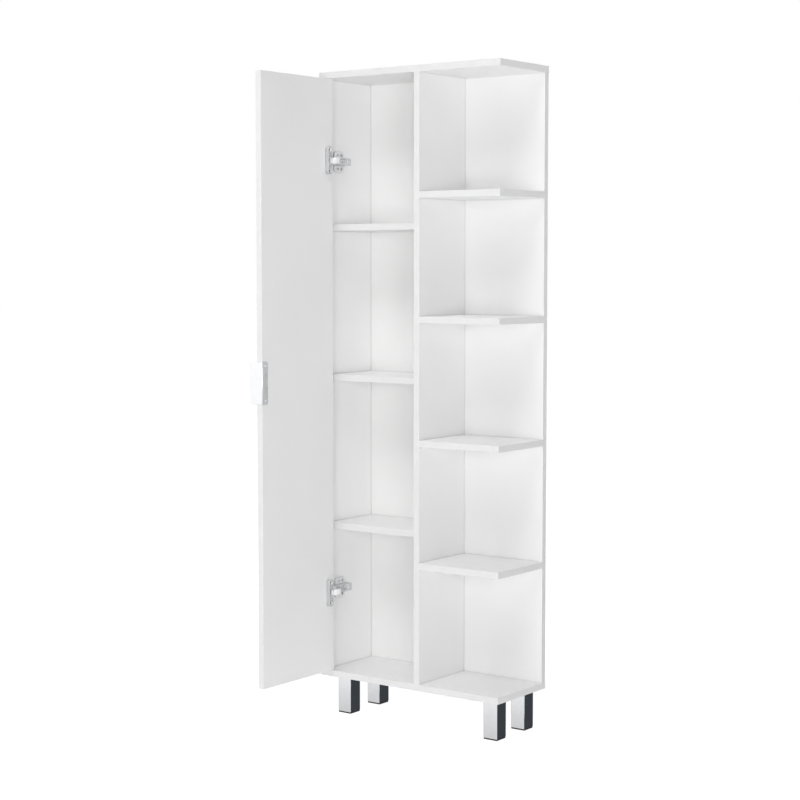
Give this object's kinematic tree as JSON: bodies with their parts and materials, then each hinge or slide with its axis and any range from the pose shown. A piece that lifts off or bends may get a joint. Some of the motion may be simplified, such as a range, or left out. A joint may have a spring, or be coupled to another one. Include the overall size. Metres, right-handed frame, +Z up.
{
  "type": "linen cabinet",
  "caption": "Tall shallow white cabinet on square chrome legs: a shelved cupboard with an inset door on concealed hinges, beside a column of open shelves.",
  "frame": {"origin": "on the floor, at the middle of the box that holds the cabinet with its door open at a right angle", "axes": "+X to the right as seen from the front, +Y to the back, +Z up"},
  "size_m": [0.508, 0.4572, 1.524],
  "materials": {
    "white_board": "white melamine faced board, satin",
    "hardboard": "white painted hardboard",
    "chrome_leg": "polished chrome plate",
    "foot_plastic": "black moulded plastic",
    "hinge_nickel": "nickel plated steel",
    "screw_steel": "zinc plated steel",
    "pull_aluminium": "satin anodised"
  },
  "bodies": {
    "carcass": {"top_panel": "white_board", "bottom_panel": "white_board", "left_side_panel": "white_board", "divider_panel": "white_board", "open_back_panel": "white_board", "open_shelf_1": "white_board", "open_shelf_2": "white_board", "open_shelf_3": "white_board", "open_shelf_4": "white_board", "cupboard_shelf_1": "white_board", "cupboard_shelf_2": "white_board", "cupboard_shelf_3": "white_board", "cupboard_back_panel": "hardboard", "leg_front_left": "chrome_leg", "foot_front_left": "foot_plastic", "leg_front_right": "chrome_leg", "foot_front_right": "foot_plastic", "leg_back_left": "chrome_leg", "foot_back_left": "foot_plastic", "leg_back_right": "chrome_leg", "foot_back_right": "foot_plastic", "hinge_plate_upper": "hinge_nickel", "hinge_arm_upper": "hinge_nickel", "hinge_plate_lower": "hinge_nickel", "hinge_arm_lower": "hinge_nickel", "leg_studs": "screw_steel", "hinge_plate_screws": "screw_steel", "hinge_arm_screws": "screw_steel"},
    "door": {"door_panel": "white_board", "edge_pull": "pull_aluminium", "pull_screws": "screw_steel", "hinge_cup_upper": "hinge_nickel", "hinge_cup_lower": "hinge_nickel", "hinge_cup_screws": "screw_steel", "hinge_pins": "hinge_nickel"},
    "hinge_links": {"hinge_link_upper": "hinge_nickel", "hinge_link_lower": "hinge_nickel"}
  },
  "joints": [
    {"name": "door_swing", "type": "hinge", "parent": "carcass", "child": "door", "pos_m": [-0.2332, 0.0237, 0.809], "axis": [0, 0, 1], "range_deg": [-15, 90]},
    {"name": "link_turn", "type": "hinge", "parent": "door", "child": "hinge_links", "pos_m": [-0.2088, 0.0131, 0.809], "axis": [0, 0, 1], "range_deg": [-97, 17]}
  ],
  "couplings": [
    {"joint": "link_turn", "follows": "door_swing", "ratio": -1.0667}
  ]
}
